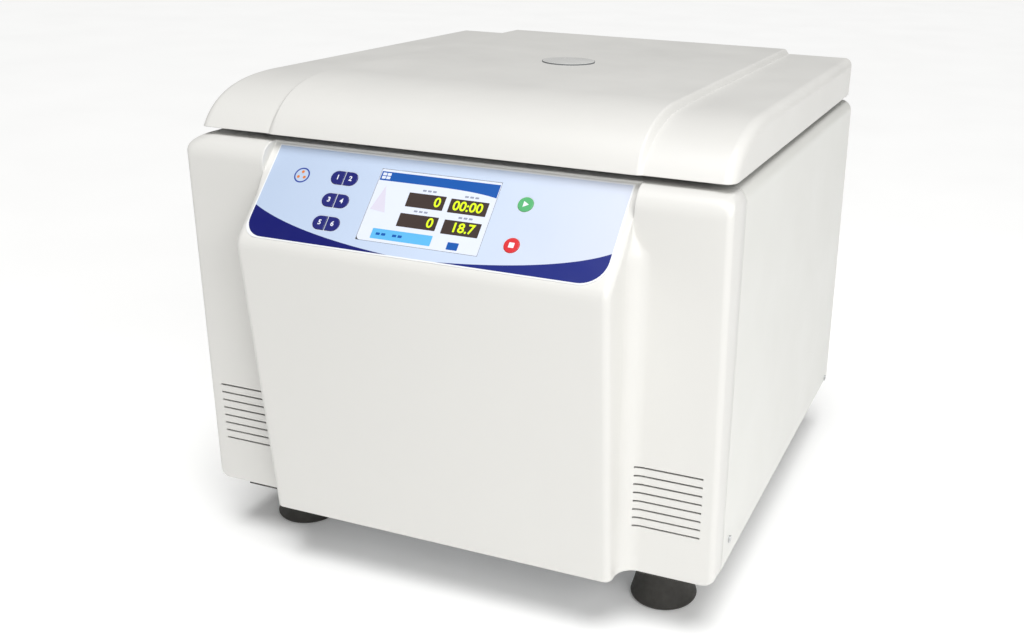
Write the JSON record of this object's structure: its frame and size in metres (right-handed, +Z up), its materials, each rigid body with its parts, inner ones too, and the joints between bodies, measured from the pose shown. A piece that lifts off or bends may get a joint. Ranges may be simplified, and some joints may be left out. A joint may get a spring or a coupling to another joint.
{
  "type": "laboratory centrifuge",
  "caption": "Benchtop laboratory centrifuge with a hinged lid, a swing-out rotor, a sloping control console and rubber feet.",
  "frame": {"origin": "on the bench, under the middle of the object's bounding box", "axes": "+Z up; -Y is the front with the control console; +X is the right-hand side seen from the front"},
  "size_m": [0.5566, 0.605, 0.4801],
  "materials": {
    "body_plastic": "warm off-white moulded plastic, satin, very fine grain",
    "body_paint": "off-white powder coat, fine orange peel",
    "overlay": "printed polyester overlay, light blue with a navy foot",
    "key_navy": "navy key cap",
    "key_green": "green key cap",
    "key_red": "red key cap",
    "display": "colour display behind a clear window",
    "circuit_board": "green solder mask",
    "zinc_steel": "zinc-plated sheet steel",
    "dark_steel": "black painted steel",
    "rubber_black": "black rubber",
    "gasket_grey": "grey silicone rubber",
    "stainless": "brushed stainless steel",
    "liner_plastic": "off-white vacuum-formed plastic",
    "window": "pale translucent acrylic light guide",
    "motor_alloy": "cast aluminium",
    "motor_iron": "dark laminated iron",
    "bearing_steel": "ground bearing steel",
    "rotor_alloy": "anodised aluminium",
    "bucket_alloy": "anodised aluminium, satin",
    "knob_black": "black moulded knob",
    "black_plastic": "black moulded plastic"
  },
  "bodies": {
    "root": {"front_panel": "body_plastic", "control_overlay": "overlay", "display_module": "display", "control_board": "circuit_board", "top_deck": "body_paint", "side_panel_left": "body_paint", "side_panel_right": "body_paint", "rear_panel": "body_paint", "base_pan": "zinc_steel", "chassis_rails": "dark_steel", "feet": "rubber_black", "casing_screws": "stainless", "chamber_bowl": "stainless", "guard_ring": "dark_steel", "chamber_gasket": "gasket_grey", "motor_lower_bell": "motor_alloy", "motor_upper_bell": "motor_alloy", "motor_stator": "motor_iron", "motor_bearings": "bearing_steel", "motor_plate": "zinc_steel", "vibration_mounts": "rubber_black", "motor_posts": "zinc_steel", "shaft_boot": "rubber_black", "hinge_brackets": "zinc_steel", "hinge_pins": "stainless", "hinge_springs": "stainless", "latch_frame": "zinc_steel", "latch_solenoid": "black_plastic", "drive_board": "circuit_board", "drive_heat_sink": "motor_alloy", "power_inlet": "black_plastic", "power_switch": "black_plastic", "fan_frame": "black_plastic", "fan_guard": "dark_steel"},
    "lid": {"lid_cover": "body_plastic", "lid_plate": "zinc_steel", "lid_liner": "liner_plastic", "sight_window": "window", "lid_striker": "stainless", "hinge_leaves": "zinc_steel"},
    "rotor": {"motor_shaft": "stainless", "motor_armature": "motor_iron", "rotor_yoke": "rotor_alloy", "trunnion_pins": "stainless"},
    "rotor_knob": {"rotor_knob": "knob_black"},
    "bucket_1": {"bucket_1": "bucket_alloy"},
    "bucket_2": {"bucket_2": "bucket_alloy"},
    "bucket_3": {"bucket_3": "bucket_alloy"},
    "bucket_4": {"bucket_4": "bucket_alloy"},
    "key_1": {"programme_key_1": "key_navy"},
    "key_2": {"programme_key_2": "key_navy"},
    "key_3": {"programme_key_3": "key_navy"},
    "key_4": {"programme_key_4": "key_navy"},
    "key_5": {"programme_key_5": "key_navy"},
    "key_6": {"programme_key_6": "key_navy"},
    "start_key": {"start_key": "key_green"},
    "stop_key": {"stop_key": "key_red"},
    "power_rocker": {"power_rocker": "black_plastic"},
    "fan_impeller": {"fan_impeller": "black_plastic"},
    "latch_hook": {"latch_hook": "stainless"}
  },
  "joints": [
    {"name": "lid_hinge", "type": "hinge", "parent": "root", "child": "lid", "pos_m": [0, 0.298, 0.4279], "axis": [-1, 0, 0], "range_deg": [0, 75]},
    {"name": "rotor_spin", "type": "hinge", "parent": "root", "child": "rotor", "pos_m": [0, 0.05, 0.2], "axis": [0, 0, 1], "continuous": true},
    {"name": "rotor_knob_turn", "type": "hinge", "parent": "rotor", "child": "rotor_knob", "pos_m": [0, 0.05, 0.378], "axis": [0, 0, 1], "continuous": true},
    {"name": "bucket_1_swing", "type": "hinge", "parent": "rotor", "child": "bucket_1", "pos_m": [0.095, 0.05, 0.34], "axis": [0, -1, 0], "range_deg": [0, 90]},
    {"name": "bucket_2_swing", "type": "hinge", "parent": "rotor", "child": "bucket_2", "pos_m": [0, 0.145, 0.34], "axis": [1, 0, 0], "range_deg": [0, 90]},
    {"name": "bucket_3_swing", "type": "hinge", "parent": "rotor", "child": "bucket_3", "pos_m": [-0.095, 0.05, 0.34], "axis": [0, 1, 0], "range_deg": [0, 90]},
    {"name": "bucket_4_swing", "type": "hinge", "parent": "rotor", "child": "bucket_4", "pos_m": [0, -0.045, 0.34], "axis": [-1, 0, 0], "range_deg": [0, 90]},
    {"name": "key_1_press", "type": "slide", "parent": "root", "child": "key_1", "axis": [0, 0.7071, -0.7071], "range_m": [0, 0.0006], "stiffness_N_per_m": 400},
    {"name": "key_2_press", "type": "slide", "parent": "root", "child": "key_2", "axis": [0, 0.7071, -0.7071], "range_m": [0, 0.0006], "stiffness_N_per_m": 400},
    {"name": "key_3_press", "type": "slide", "parent": "root", "child": "key_3", "axis": [0, 0.7071, -0.7071], "range_m": [0, 0.0006], "stiffness_N_per_m": 400},
    {"name": "key_4_press", "type": "slide", "parent": "root", "child": "key_4", "axis": [0, 0.7071, -0.7071], "range_m": [0, 0.0006], "stiffness_N_per_m": 400},
    {"name": "key_5_press", "type": "slide", "parent": "root", "child": "key_5", "axis": [0, 0.7071, -0.7071], "range_m": [0, 0.0006], "stiffness_N_per_m": 400},
    {"name": "key_6_press", "type": "slide", "parent": "root", "child": "key_6", "axis": [0, 0.7071, -0.7071], "range_m": [0, 0.0006], "stiffness_N_per_m": 400},
    {"name": "start_key_press", "type": "slide", "parent": "root", "child": "start_key", "axis": [0, 0.7071, -0.7071], "range_m": [0, 0.0006], "stiffness_N_per_m": 400},
    {"name": "stop_key_press", "type": "slide", "parent": "root", "child": "stop_key", "axis": [0, 0.7071, -0.7071], "range_m": [0, 0.0006], "stiffness_N_per_m": 400},
    {"name": "power_rocker_tip", "type": "hinge", "parent": "root", "child": "power_rocker", "pos_m": [0.12, 0.29, 0.11], "axis": [1, 0, 0], "range_deg": [0, 14]},
    {"name": "fan_spin", "type": "hinge", "parent": "root", "child": "fan_impeller", "pos_m": [-0.15, 0.275, 0.135], "axis": [0, 1, 0], "continuous": true},
    {"name": "latch_turn", "type": "hinge", "parent": "root", "child": "latch_hook", "pos_m": [0, -0.206, 0.362], "axis": [-1, 0, 0], "range_deg": [0, 22]}
  ]
}
